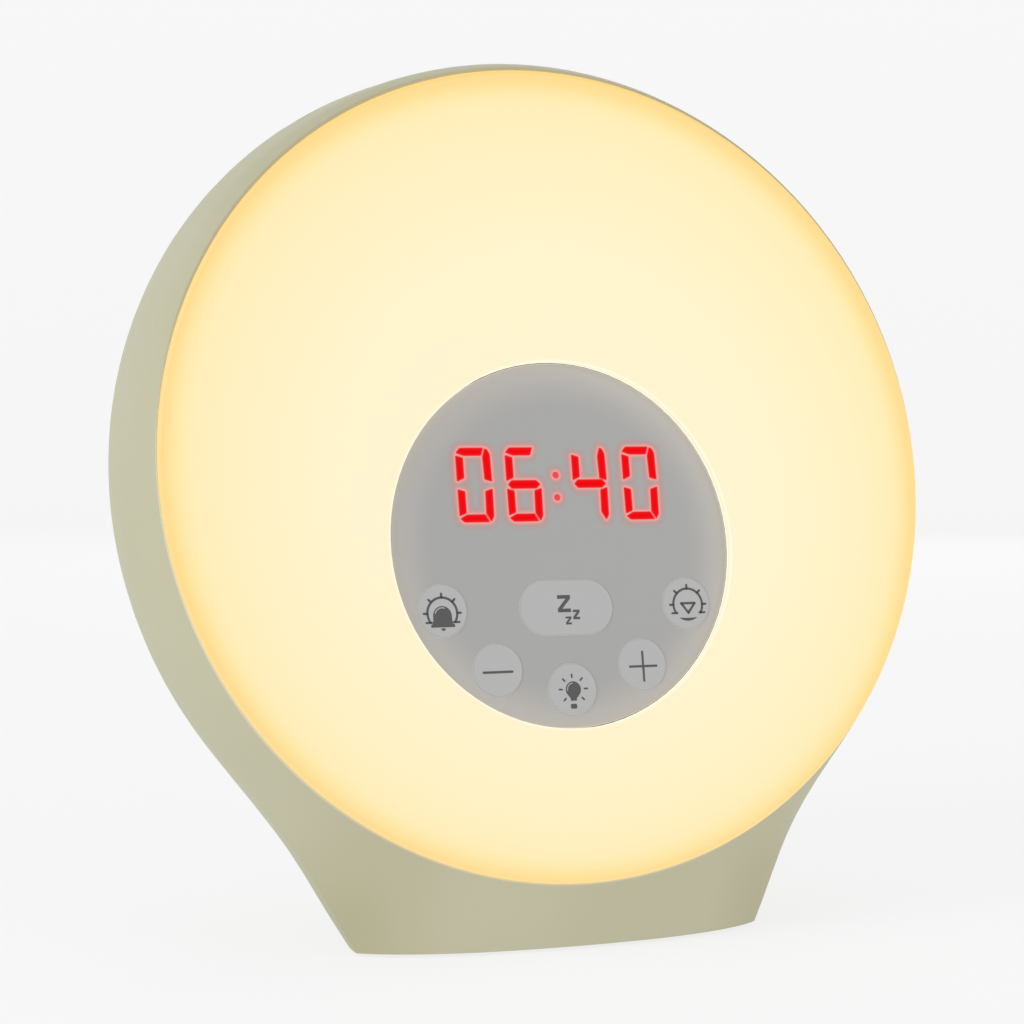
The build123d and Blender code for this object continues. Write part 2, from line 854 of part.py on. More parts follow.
def make_inlet():
    """Round power socket with an outer flange, held by a nut inside."""
    jack = inward(inlet_flange_radius, -inlet_flange_thickness, 0)
    jack += inward(inlet_barrel_radius, 0, inlet_depth)
    jack -= inward(socket_radius, -inlet_flange_thickness - overrun, socket_depth)
    return on_rear(Pos(0, -inlet_drop, 0) * jack)


def make_inlet_pin():
    start = inlet_pin_setback - inlet_flange_thickness
    return on_rear(inward(inlet_pin_radius, start, socket_depth, 0, -inlet_drop))


def make_inlet_nut():
    nut = extrude(RegularPolygon(inlet_nut_radius, 6), amount=inlet_nut_thickness)
    nut -= inward(inlet_barrel_radius, -overrun, inlet_nut_thickness + overrun)
    return on_rear(Pos(0, -inlet_drop, rear_wall) * nut)


# Fasteners and pads

def screw(length):
    """Pan-head screw with its head on +Z and the shank down from the origin."""
    shank = Pos(0, 0, -length / 2) * Cylinder(screw_radius, length)
    return shank + Pos(0, 0, screw_head_height / 2) * Cylinder(screw_head_radius, screw_head_height)


def make_case_screws():
    screws = []
    for x, rise in boss_places:
        seat = level_y(boss_end, rise) + case_screw_grip
        turn = Pos(x, seat, face_height + rise) * Rot(-90, 0, 0)
        screws.append(turn * screw(case_screw_grip + case_screw_bite))
    return Compound(screws)


def make_lamp_screws():
    """Screws through the dish floor into the legs of the carrier."""
    screws = []
    for x, y in carrier_leg_places:
        place = Pos(x, y - panel_drop, -dish_back) * Rot(180, 0, 0)
        screws.append(place * screw(dish_wall + small_screw_grip - screw_tip_gap))
    return on_face(Compound(screws))


def make_board_screws():
    """Screws of the display board from the front and of the main board from the back."""
    screws = []
    for x, y in board_post_places:
        place = Pos(x, y - panel_drop, -board_front)
        screws.append(place * screw(board_thickness + small_screw_grip - screw_tip_gap))
    for x, y in main_post_places():
        place = Pos(x, y, -main_board_back) * Rot(180, 0, 0)
        screws.append(place * screw(board_thickness + small_screw_grip - screw_tip_gap))
    return on_face(Compound(screws))


def make_rear_screws():
    """Screws of the speaker and of the setting-key board, driven from inside."""
    screws = []
    for x, y in speaker_post_places():
        seat = speaker_post_end() + speaker_rim
        screws.append(Pos(x, y, seat) * screw(speaker_rim + gasket_thickness))
    for x, y in rear_post_places():
        place = Pos(x, y, rear_board_start() + board_thickness)
        screws.append(place * screw(board_thickness + small_screw_grip - screw_tip_gap))
    return on_rear(Compound(screws))


def make_pads():
    """Rubber pads let into the underside of the foot."""
    height = foot_clearance + pad_embed
    pads = []
    for x, depth in pad_places:
        pads.append(Pos(x, level_y(depth, -floor_drop), height / 2) * Cylinder(pad_radius, height))
    return Compound(pads)


def save(name, shape):
    export_step(shape, f"parts/{name}.step")


os.makedirs("parts", exist_ok=True)
body = make_body()
rubber_pads = make_pads()
save("front_housing", make_housing(body) - rubber_pads)
save("rear_cover", make_rear_cover(body) - rubber_pads)
save("rubber_pads", rubber_pads)
save("front_diffuser", make_diffuser())
save("reflector_dish", make_dish())
save("lamp_board", make_lamp_board())
save("lamp_leds", make_lamp_leds())
save("control_panel", make_panel())
for key_name in key_places:
    save(key_name, make_key(key_name))
    save(key_name.replace("key", "plunger"), make_plunger(key_name))
save("key_switches", make_key_switches())
save("panel_carrier", make_carrier())
save("display_board", make_display_board())
save("display_module", make_display())
save("main_board", make_main_board())
save("board_parts", make_board_parts())
save("cell_holder", make_cell_holder())
save("backup_cell", make_cell())
save("ribbon_cable", make_ribbon())
save("ribbon_sockets", make_ribbon_sockets())
save("speaker_gasket", make_speaker_gasket())
save("speaker_frame", make_speaker_frame())
save("speaker_cone", make_speaker_cone())
save("speaker_magnet", make_speaker_magnet())
for key_name, key_x in zip(rear_key_names, rear_key_xs()):
    save(key_name, make_rear_key(key_x))
    save(key_name.replace("key", "plunger"), make_rear_plunger(key_x))
save("rear_switches", make_rear_switches())
save("rear_board", make_rear_board())
save("power_inlet", make_inlet())
save("inlet_pin", make_inlet_pin())
save("inlet_nut", make_inlet_nut())
save("case_screws", make_case_screws())
save("lamp_screws", make_lamp_screws())
save("board_screws", make_board_screws())
save("rear_screws", make_rear_screws())
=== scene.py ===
import json
import math

import bpy
import numpy as np
from mathutils import Matrix, Vector


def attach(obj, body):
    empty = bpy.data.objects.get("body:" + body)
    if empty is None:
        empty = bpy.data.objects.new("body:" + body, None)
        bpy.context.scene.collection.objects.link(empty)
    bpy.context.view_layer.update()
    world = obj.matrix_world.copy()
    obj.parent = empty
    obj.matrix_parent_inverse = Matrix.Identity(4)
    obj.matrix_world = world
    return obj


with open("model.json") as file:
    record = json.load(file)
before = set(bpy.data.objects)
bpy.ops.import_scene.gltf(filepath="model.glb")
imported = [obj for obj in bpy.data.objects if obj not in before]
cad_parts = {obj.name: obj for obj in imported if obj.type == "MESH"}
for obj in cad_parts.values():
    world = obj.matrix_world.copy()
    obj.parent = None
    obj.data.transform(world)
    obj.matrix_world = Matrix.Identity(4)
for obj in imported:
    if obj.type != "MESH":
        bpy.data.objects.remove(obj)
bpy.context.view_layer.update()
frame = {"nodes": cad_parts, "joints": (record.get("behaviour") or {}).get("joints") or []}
mm = 0.001
print("stage: frame loaded,", len(frame["nodes"]), "nodes")


# the camera, the floor and the light

cameraSetup = {
    "fromFace": (-0.24204, -0.54899, 0.01464),  # metres from the middle of the lit face
    "back": (-0.38753, -0.92098, 0.04013),  # from the lamp towards the camera
    "up": (0.01556, 0.03699, 0.99920),
    "lens": 98.02,
    "sensor": 36.0,
    "clip": (0.01, 50.0),
}

floorSetup = {
    "rings": (0.0001, 0.4, 1.0, 1.6),  # radii on the flat part, metres
    "flatRadius": 2.2,
    "bendRadius": 1.2,  # the floor turns up into the backdrop on this radius
    "bendSteps": 13,
    "aroundSteps": 96,
    "wallHeight": 2.6,
    "colour": (124, 124, 123),
    "glow": [  # share of the way out to the wall, and the light added there
        (0.00, (225, 225, 226)),
        (0.20, (226, 226, 227)),
        (0.60, (228, 228, 229)),
        (1.00, (229, 229, 230)),
    ],
}

lightSetup = {
    "worldColour": (255, 255, 255),
    "worldStrength": 0.40,
    "aim": (0, 0, 0.09),  # every area light faces this point
    "areas": [  # name, place, size, power, colour
        ("keyLight", (-1.45, -0.50, 1.05), 1.1, 10.6, (248, 254, 255)),
        ("fillLight", (0.85, -1.30, 0.70), 1.2, 3.4, (252, 253, 255)),
        ("topLight", (0.10, 0.35, 1.75), 1.3, 2.5, (255, 255, 255)),
        ("backLight", (0.75, 1.35, 0.75), 1.2, 2.5, (255, 253, 250)),
    ],
}


def linear(rgb):
    # display colour 0-255 to linear light, with the standard curve
    c = np.array(rgb, dtype=float) / 255.0
    return tuple(np.where(c <= 0.04045, c / 12.92, ((c + 0.055) / 1.055) ** 2.4))


def linear4(rgb):
    return (*linear(rgb), 1.0)


def addCamera():
    data = bpy.data.cameras.new("camera")
    data.lens = cameraSetup["lens"]
    data.sensor_width = cameraSetup["sensor"]
    data.clip_start, data.clip_end = cameraSetup["clip"]
    camera = bpy.data.objects.new("camera", data)
    back = np.array(cameraSetup["back"])
    up = np.array(cameraSetup["up"])
    side = np.cross(up, back)
    turn = np.eye(4)
    turn[:3, :4] = np.column_stack([side, up, back, faceCentre + cameraSetup["fromFace"]])
    camera.matrix_world = Matrix(turn.tolist())
    bpy.context.scene.collection.objects.link(camera)
    bpy.context.scene.camera = camera


def addLights():
    for name, place, size, power, colour in lightSetup["areas"]:
        data = bpy.data.lights.new(name, "AREA")
        data.shape = "DISK"
        data.size = size
        data.energy = power
        data.color = linear(colour)
        light = bpy.data.objects.new(name, data)
        light.location = place
        aim = Vector(lightSetup["aim"]) - light.location
        light.rotation_mode = "QUATERNION"
        light.rotation_quaternion = aim.to_track_quat("-Z", "Y")
        bpy.context.scene.collection.objects.link(light)
    world = bpy.data.worlds.new("studio")
    world.use_nodes = True
    sky = world.node_tree.nodes["Background"]
    sky.inputs["Color"].default_value = linear4(lightSetup["worldColour"])
    sky.inputs["Strength"].default_value = lightSetup["worldStrength"]
    bpy.context.scene.world = world
    bpy.context.scene.view_settings.view_transform = "Standard"


# meshes from corners and faces

def addMesh(name, corners, faces):
    # corners in metres in the object's own frame, one row each
    data = bpy.data.meshes.new(name)
    data.from_pydata(np.asarray(corners).tolist(), [], [list(map(int, face)) for face in faces])
    data.update()
    piece = bpy.data.objects.new(name, data)
    bpy.context.scene.collection.objects.link(piece)
    return piece


def gridFaces(rows, columns, closed):
    # quads between neighbouring rows and columns; closed joins the last column to the first
    last = columns if closed else columns - 1
    row, column = np.meshgrid(np.arange(rows - 1), np.arange(last), indexing="ij")
    after = (column + 1) % columns
    near = row * columns
    far = near + columns
    quad = [near + column, near + after, far + after, far + column]
    return np.stack(quad, axis=-1).reshape(-1, 4)


def smooth(piece):
    piece.data.polygons.foreach_set("use_smooth", [True] * len(piece.data.polygons))


def addFloor():
    # a profile of radius and height turned round Z: flat floor, quarter bend, upright wall
    rings = floorSetup["rings"]
    flat = floorSetup["flatRadius"]
    bend = floorSetup["bendRadius"]
    turn = np.linspace(0, math.pi / 2, floorSetup["bendSteps"])
    radius = np.concatenate([rings, flat + bend * np.sin(turn), [flat + bend]])
    rise = bend * (1 - np.cos(turn))
    height = np.concatenate([np.zeros(len(rings)), rise, [floorSetup["wallHeight"]]])
    around = np.linspace(0, 2 * math.pi, floorSetup["aroundSteps"], endpoint=False)
    x = radius[:, None] * np.cos(around)
    y = radius[:, None] * np.sin(around)
    z = np.broadcast_to(height[:, None], x.shape)
    corners = np.stack([x, y, z], axis=-1).reshape(-1, 3)
    floor = addMesh("studioFloor", corners, gridFaces(len(radius), len(around), True))
    smooth(floor)
    return floor


# shader maths

class Reading:
    # one value that a material works out; arithmetic on it adds Math nodes
    def __init__(self, finish, socket):
        self.finish = finish
        self.socket = socket

    def maths(self, operation, *values):
        inputs = dict(enumerate(values))
        return self.finish.node("Math", {"operation": operation}, inputs)

    def __add__(self, other):
        return self.maths("ADD", self, other)

    def __sub__(self, other):
        return self.maths("SUBTRACT", self, other)

    def __rsub__(self, other):
        return self.maths("SUBTRACT", other, self)

    def __mul__(self, other):
        return self.maths("MULTIPLY", self, other)

    def __truediv__(self, other):
        return self.maths("DIVIDE", self, other)

    def __pow__(self, other):
        return self.maths("POWER", self, other)

    __radd__ = __add__
    __rmul__ = __mul__

    def within(self, low, high):
        # 0 below low, 1 above high, smooth between
        settings = {"interpolation_type": "SMOOTHSTEP"}
        inputs = {"Value": self, "From Min": low, "From Max": high}
        return self.finish.node("MapRange", settings, inputs)

    def wave(self):
        return self.maths("SINE", self)

    def size(self):
        return self.maths("ABSOLUTE", self)

    def atLeast(self, low):
        return self.maths("MAXIMUM", self, low)


class Finish:
    # one material and the nodes that make it
    def __init__(self, name):
        self.material = bpy.data.materials.new(name)
        self.material.use_nodes = True
        self.tree = self.material.node_tree
        self.tree.nodes.clear()
        self.surface = self.tree.nodes.new("ShaderNodeBsdfPrincipled")
        output = self.tree.nodes.new("ShaderNodeOutputMaterial")
        self.tree.links.new(self.surface.outputs[0], output.inputs["Surface"])

    def feed(self, node, inputs):
        for key, value in inputs.items():
            socket = node.inputs[key]
            if isinstance(value, Reading):
                self.tree.links.new(value.socket, socket)
            else:
                socket.default_value = value

    def node(self, kind, settings, inputs, output=0):
        # a node of a kind, its settings first, then the values or links of its sockets
        made = self.tree.nodes.new("ShaderNode" + kind)
        for key, value in settings.items():
            if key == "stops":
                self.setStops(made.color_ramp, value)
            else:
                setattr(made, key, value)
        self.feed(made, inputs)
        return Reading(self, made.outputs[output])

    def setStops(self, ramp, stops):
        while len(ramp.elements) < len(stops):
            ramp.elements.new(0.5)
        for element, (place, colour) in zip(ramp.elements, stops):
            element.position = place
            element.color = colour

    def place(self, centre=(0, 0, 0), lean=0.0):
        # the piece's own coordinates in metres, moved to a centre and laid on the leaning face
        own = self.node("TexCoord", {}, {}, "Object")
        inputs = {"Vector": own, "Location": tuple(centre), "Rotation": (-lean, 0, 0)}
        return self.node("Mapping", {"vector_type": "TEXTURE"}, inputs)

    def parts(self, place):
        return [self.node("SeparateXYZ", {}, {0: place}, axis) for axis in range(3)]

    def noise(self, place, size, detail=2.0, stretch=(1, 1, 1)):
        # cloudy value about 0.5; size is the width of a cloud in metres
        inputs = {"Vector": self.scaled(place, stretch), "Scale": 1 / size, "Detail": detail}
        return self.node("TexNoise", {}, inputs)

    def scaled(self, place, stretch):
        return self.node("VectorMath", {"operation": "MULTIPLY"}, {0: place, 1: tuple(stretch)})

    def cells(self, place, size):
        # distance from the nearest of many scattered points, as a share of their spacing
        return self.node("TexVoronoi", {}, {"Vector": place, "Scale": 1 / size})

    def farFrom(self, place, stretch=(1, 0, 1)):
        # distance from the centre of the place, in the plane of the face
        flat = self.scaled(place, stretch)
        return self.node("VectorMath", {"operation": "LENGTH"}, {0: flat}, "Value")

    def mix(self, share, first, second):
        inputs = {0: share, 6: self.colour(first), 7: self.colour(second)}
        return self.node("Mix", {"data_type": "RGBA"}, inputs, 2)

    def colour(self, value):
        # a reading or a ready linear colour of four parts stays, a display colour is made linear
        if isinstance(value, Reading) or len(value) == 4:
            return value
        return linear4(value)

    def ramp(self, share, stops):
        return self.node("ValToRGB", {"stops": stops}, {0: share})

    def bump(self, height, depth):
        # height 0-1 raised by depth metres
        return self.node("Bump", {}, {"Height": height, "Distance": depth, "Strength": 1.0})

    def wear(self, inputs):
        # what the surface shader itself gets
        self.feed(self.surface, inputs)
        return self.material


def tinted(rgb, share):
    # a display colour made lighter (share above 1) or darker
    return tuple(min(255.0, part * share) for part in rgb)


# the leaning face's own axes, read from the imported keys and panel

pressJoint = next(joint for joint in frame["joints"] if joint["name"] == "alarm_key_press")
faceOut = -np.array(pressJoint["axis"])
faceRight = np.array([1.0, 0.0, 0.0])
faceUp = np.cross(faceOut, faceRight)
faceLean = math.asin(faceOut[2])


def faceSpan(name):
    # lowest and highest of a node's corners along the face: right, up and out, in metres
    mesh = frame["nodes"][name].data
    corners = np.empty(len(mesh.vertices) * 3)
    mesh.vertices.foreach_get("co", corners)
    along = corners.reshape(-1, 3) @ np.column_stack([faceRight, faceUp, faceOut])
    return along.min(axis=0), along.max(axis=0)


def faceMiddle(name):
    low, high = faceSpan(name)
    return (low + high) / 2


def faceRadius(name):
    low, high = faceSpan(name)
    return (high[0] - low[0]) / 2


def onFace(flat, out):
    # points given as right and up in metres, lifted to a height along the face's outward axis
    flat = np.asarray(flat)
    return flat[:, :1] * faceRight + flat[:, 1:2] * faceUp + out * faceOut


def facePoint(right, up, out):
    return right * faceRight + up * faceUp + out * faceOut


panelMiddle = faceMiddle("control_panel")
panelFront = faceSpan("control_panel")[1][2]
panelRadius = faceRadius("control_panel")
lampMiddle = faceMiddle("front_diffuser")
lampRadius = faceRadius("front_diffuser")
panelCentre = facePoint(*panelMiddle[:2], panelFront)
lampCentre = facePoint(*lampMiddle)
faceCentre = facePoint(*lampMiddle[:2], faceSpan("front_diffuser")[1][2])
seamDepth = float(faceCentre @ faceOut - faceSpan("front_housing")[0][2])


# the finishes

shellFinish = {
    "colour": (189, 186, 159),
    "shade": (181, 177, 147),
    "grain": 0.00045,
    "grainDepth": 0.000012,
    "roughness": 0.56,
    "cloud": 0.06,
    "lowerHalf": (-0.02, 0.05),  # up from the middle: end of the lower rim, start of the upper
    "lipLampLightColour": (226, 214, 184),  # painted lamp light on the lower rim beside the lit edge
    "lipDepth": (0.0008, 0.0018),  # metres behind the face where that colour is full, and gone
    "lipShare": 0.45,
    "topLipShadeColour": (172, 152, 112),  # painted shade on the upper rim, tinted by the amber light
    "topLipShare": 0.7,
    "wallGlow": (112, 94, 66),  # lamp light on the wall round the cover
    "wallRadius": (0.08888, 0.08905),  # full on the wall, gone just outside it
    "wallDepth": (0.003, 0.006),  # metres behind the face: full, gone
    "wallTopShare": 0.3,  # how much of it the upper wall gets
    "seam": (112, 109, 90),  # parting line of housing and rear cover
    "seamWidth": (0.00012, 0.00030),  # half width: full, gone
    "seamDrop": 12,  # times the depth of the grain
    "flankShade": (174, 170, 138),  # painted shade on both ends of the foot
    "flankStart": (0.028, 0.050),  # sideways from the middle, metres
    "flankTop": (0.005, 0.036),  # above the table, metres
}


def makeShell():
    # spark-grained moulded plastic with broad faint clouds, painted shade on the ends of the foot,
    # a parting line, painted lamp light and amber shade on the rim, and lamp light on the inner
    # wall beside the lit cover
    finish = Finish("housingShell")
    place = finish.place()
    cloud = finish.noise(place, shellFinish["cloud"], 3.0)
    grain = finish.noise(place, shellFinish["grain"], 2.0)
    pits = finish.cells(place, shellFinish["grain"] * 1.7)
    tone = cloud.within(0.3, 0.7) * 0.5 + grain * 0.2
    gloss = shellFinish["roughness"] + (cloud - 0.5) * 0.10 + (grain - 0.5) * 0.12
    across, _, above = finish.parts(place)
    # painted shade: both ends of the foot darker low down
    lowDown = 1 - above.within(*shellFinish["flankTop"])
    flankShadeShare = across.size().within(*shellFinish["flankStart"]) * lowDown
    facePlace = finish.place(faceCentre, faceLean)
    _, behind, up = finish.parts(facePlace)
    lower = 1 - up.within(*shellFinish["lowerHalf"])
    rim = 1 - behind.within(*shellFinish["lipDepth"])
    # painted amber shade on the upper rim, near the face
    topLipShade = rim * (1 - lower) * shellFinish["topLipShare"]
    # painted lamp light on the lower rim, near the face
    lowerLipLight = rim * lower * shellFinish["lipShare"]
    seam = 1 - (behind - seamDepth).size().within(*shellFinish["seamWidth"])
    topShare = shellFinish["wallTopShare"]
    wall = 1 - finish.farFrom(facePlace).within(*shellFinish["wallRadius"])
    wall = wall * (1 - behind.within(*shellFinish["wallDepth"]))
    wall = wall * (lower * (1 - topShare) + topShare)
    colour = finish.mix(tone, shellFinish["colour"], shellFinish["shade"])
    colour = finish.mix(flankShadeShare, colour, shellFinish["flankShade"])
    colour = finish.mix(seam, colour, shellFinish["seam"])
    colour = finish.mix(topLipShade, colour, shellFinish["topLipShadeColour"])
    colour = finish.mix(lowerLipLight, colour, shellFinish["lipLampLightColour"])
    relief = grain * 0.7 + pits * 0.5 - seam * shellFinish["seamDrop"]
    return finish.wear({
        "Base Color": colour,
        "Roughness": gloss,
        "Specular IOR Level": 0.42,
        "Emission Color": finish.mix(wall, (0, 0, 0), shellFinish["wallGlow"]),
        "Emission Strength": 1.0,
        "Normal": finish.bump(relief, shellFinish["grainDepth"]),
    })


glowFinish = {
    "plastic": (62, 58, 50),  # what the unlit opal sends back of the room's light
    "steps": [  # distance in from the rim as a share of the radius, and the colour there
        (0.000, (254, 215, 128)),
        (0.010, (254, 219, 139)),
        (0.020, (254, 222, 152)),
        (0.028, (254, 221, 149)),
        (0.034, (254, 223, 151)),
        (0.050, (254, 229, 163)),
        (0.073, (255, 235, 179)),
        (0.107, (255, 238, 188)),
        (0.186, (255, 240, 194)),
        (0.310, (255, 241, 199)),
        (0.479, (255, 243, 205)),
    ],
    "roomLight": 0.083,  # already sent back by the plastic, so taken off the steps
    "rimShare": 0.020,  # where on the steps the rim begins
    "amberShift": 0.018,  # the upper right rim begins earlier by this much, so it is more amber
    "amberWay": (0.50, 0.87),  # right and up
    "amberSpan": (-0.3, 0.9),  # along that way, as a share of the radius: none, full
    "nearPanel": (255, 244, 212),
    "nearPanelShare": 0.35,
    "nearPanelReach": 0.045,  # metres out from the panel
    # painted highlight along the opening round the panel
    "panelEdgeHighlight": (255, 252, 238),
    "panelEdgeWidth": (0.00025, 0.0008),  # metres out from the panel: full, gone
    "panelEdgeFoot": (-0.0006, -0.0002),  # where the opening meets the panel, metres in front of it
    "panelEdgeTop": (-0.0017, -0.0012),  # and where it opens on the face
    "panelEdgeShares": (0.75, 0.35, 0.1),  # at the foot, at the top, and all the way between
    "cloud": 0.004,
}


def glowStop(rgb):
    room = glowFinish["roomLight"]
    return (*(max(part - room, 0.0) for part in linear(rgb)), 1.0)


def makeGlow():
    # opal cover lit from inside: amber at the rim, cream towards the lamp ring, with a painted
    # highlight along the opening round the panel
    finish = Finish("opalDiffuser")
    flat = finish.place(lampCentre, faceLean)
    right, _, up = finish.parts(flat)
    rightWay, upWay = glowFinish["amberWay"]
    amberSide = ((right * rightWay + up * upWay) / lampRadius).within(*glowFinish["amberSpan"])
    rimShare = glowFinish["rimShare"] - amberSide * glowFinish["amberShift"]
    inward = 1 - finish.farFrom(flat) / lampRadius + rimShare
    light = finish.ramp(inward, [(share, glowStop(rgb)) for share, rgb in glowFinish["steps"]])
    panelPlace = finish.place(panelCentre, faceLean)
    fromPanel = finish.farFrom(panelPlace) - panelRadius
    # painted highlight along the opening round the panel
    edge = 1 - fromPanel.within(*glowFinish["panelEdgeWidth"])
    inFront = finish.parts(panelPlace)[1]
    foot = inFront.within(*glowFinish["panelEdgeFoot"])
    top = 1 - inFront.within(*glowFinish["panelEdgeTop"])
    footShare, topShare, wallShare = glowFinish["panelEdgeShares"]
    edge = edge * (foot * footShare + top * topShare + wallShare)
    near = (1 - fromPanel.within(0.0, glowFinish["nearPanelReach"])) * glowFinish["nearPanelShare"]
    light = finish.mix(near, light, glowStop(glowFinish["nearPanel"]))
    light = finish.mix(edge, light, glowFinish["panelEdgeHighlight"])
    cloud = finish.noise(flat, glowFinish["cloud"], 3.0)
    return finish.wear({
        "Base Color": finish.mix(cloud, glowFinish["plastic"], tinted(glowFinish["plastic"], 1.05)),
        "Roughness": 0.42 + cloud * 0.08,
        "Emission Color": light,
        "Emission Strength": 1.0,
        "Normal": finish.bump(cloud, 0.000006),
    })


panelFinish = {
    "colour": (159, 158, 156),
    # painted lamp light: the lens is paler over edgeWidth towards its edge
    "edgeLampLightColour": (180, 175, 170),
    "edgeWidth": 0.010,
    "edgeGlow": (132, 126, 108),  # lamp light added along the very edge
    "edgeGlowWidth": (0.00025, 0.00005),  # metres in from the edge: none, full
    "speckle": 0.0006,
    "cloud": 0.020,
    "roughness": 0.38,
    "seep": (150, 149, 146),  # lamp light that shows in the gaps round the keys
    "seepDepth": (0.00003, 0.00010),  # metres below the front where it begins and is full
}


def makePanelLens():
    # grey lens, paler and warmer where the lamp shines into its edge, painted into its colour and
    # added as glow, with a faint speckle
    finish = Finish("panelLens")
    flat = finish.place(panelCentre, faceLean)
    away = finish.farFrom(flat)
    # painted lamp light: paler towards the edge
    rim = away.within(panelRadius - panelFinish["edgeWidth"], panelRadius)
    speckle = finish.noise(flat, panelFinish["speckle"], 2.0)
    cloud = finish.noise(flat, panelFinish["cloud"], 2.0)
    paler = tinted(panelFinish["colour"], 1.03)
    body = finish.mix(speckle * 0.5 + cloud * 0.3, panelFinish["colour"], paler)
    glowStart, glowEnd = panelFinish["edgeGlowWidth"]
    lit = away.within(panelRadius - glowStart, panelRadius - glowEnd)
    return finish.wear({
        "Base Color": finish.mix(rim, body, panelFinish["edgeLampLightColour"]),
        "Roughness": panelFinish["roughness"] + speckle * 0.08,
        "Normal": finish.bump(speckle, 0.000004),
        "Emission Color": finish.mix(lit, seepLight(finish, flat), panelFinish["edgeGlow"]),
        "Emission Strength": 1.0,
    })


def seepLight(finish, place):
    # dark on the front, then a soft grey light further in; Y of the place is the depth
    deep = finish.parts(place)[1]
    return finish.mix(deep.within(*panelFinish["seepDepth"]), (0, 0, 0), panelFinish["seep"])


padFinish = {
    "flange": 0.0008,  # how far the hidden flange reaches past the pad, metres
    "colour": (174, 174, 173),
    "fade": 0.0003,  # width of the soft edge of the pale pad, metres
    "roughness": 0.46,
    "grain": 0.0005,
}


def makePad(key):
    # a pale pad whose edge fades into the panel's colour, by distance from its middle line
    finish = Finish(key + "Pad")
    low, high = faceSpan(key)
    stemMiddle = faceMiddle(key.replace("key", "plunger"))
    halfHeight = (high[1] - stemMiddle[1]) - padFinish["flange"]
    halfWidth = (high[0] - low[0]) / 2 - padFinish["flange"]
    straight = max(halfWidth - halfHeight, 0.0)
    place = finish.place(facePoint(stemMiddle[0], stemMiddle[1], high[2]), faceLean)
    right, _, up = finish.parts(place)
    away = ((right.size() - straight).atLeast(0.0) ** 2 + up**2) ** 0.5
    edge = away.within(halfHeight - padFinish["fade"], halfHeight)
    grain = finish.noise(place, padFinish["grain"], 2.0)
    pad = finish.mix(grain, tinted(padFinish["colour"], 0.99), tinted(padFinish["colour"], 1.01))
    return finish.wear({
        "Base Color": finish.mix(edge, pad, panelFinish["colour"]),
        "Roughness": padFinish["roughness"] + (grain - 0.5) * 0.1,
        "Normal": finish.bump(grain, 0.000004),
        "Emission Color": seepLight(finish, place),
        "Emission Strength": 1.0,
    })


# every other moulded piece: colour, roughness, width of the grain, depth of the grain
plasticFinishes = {
    "rear_key": ((176, 173, 150), 0.50, 0.0004, 0.000010),
    "pad_rubber": ((74, 74, 72), 0.82, 0.0009, 0.000040),
    "white_reflector": ((240, 240, 236), 0.36, 0.0007, 0.000006),
    "lamp_led": ((246, 214, 92), 0.30, 0.0003, 0.000004),
    "switch_plunger": ((206, 66, 52), 0.40, 0.0004, 0.000005),
    "switch_body": ((44, 44, 46), 0.52, 0.0004, 0.000008),
    "black_carrier": ((36, 36, 38), 0.60, 0.0006, 0.000012),
    "display_block": ((52, 24, 24), 0.32, 0.0008, 0.000005),
    "board_parts": ((48, 50, 56), 0.44, 0.0006, 0.000008),
    "connector_nylon": ((232, 228, 214), 0.48, 0.0005, 0.000008),
    "inlet_body": ((34, 34, 36), 0.44, 0.0005, 0.000010),
}


def makePlastic(slot):
    # moulded plastic with grain, faint flow clouds and a gloss that follows the grain
    colour, roughness, grainSize, grainDepth = plasticFinishes[slot]
    finish = Finish(slot)
    place = finish.place()
    grain = finish.noise(place, grainSize, 2.0)
    flow = finish.noise(place, 0.012, 2.0, (1, 1, 0.3))
    tone = grain * 0.6 + flow * 0.4
    return finish.wear({
        "Base Color": finish.mix(tone, tinted(colour, 0.95), tinted(colour, 1.04)),
        "Roughness": roughness + (grain - 0.5) * 0.14,
        "Normal": finish.bump(grain, grainDepth),
    })


# bare metal: colour, roughness, how long the brushing runs against its width
metalFinishes = {
    "cell_steel": ((206, 206, 204), 0.26, 12.0),
    "inlet_pin": ((214, 206, 186), 0.22, 8.0),
    "inlet_nut": ((190, 190, 190), 0.34, 4.0),
    "screw_steel": ((168, 166, 162), 0.32, 3.0),
    "speaker_basket": ((150, 152, 156), 0.42, 5.0),
}


def makeMetal(slot):
    # plated steel: fine brushing along one way, dull spots where it has been handled
    colour, roughness, run = metalFinishes[slot]
    finish = Finish(slot)
    place = finish.place()
    brushed = finish.noise(place, 0.0004, 3.0, (1, 1 / run, 1))
    dull = finish.noise(place, 0.006, 2.0).within(0.5, 0.75)
    return finish.wear({
        "Base Color": finish.mix(dull * 0.5 + brushed * 0.3, colour, tinted(colour, 0.82)),
        "Metallic": 1.0,
        "Roughness": roughness + brushed * 0.12 + dull * 0.10,
        "Normal": finish.bump(brushed, 0.000004),
    })


# circuit boards: resist, resist over copper, spacing of the tracks in metres
boardFinishes = {
    "circuit_board": ((24, 84, 52), (40, 112, 70), 0.0026),
    "lamp_board": ((232, 232, 226), (214, 214, 206), 0.0040),
}


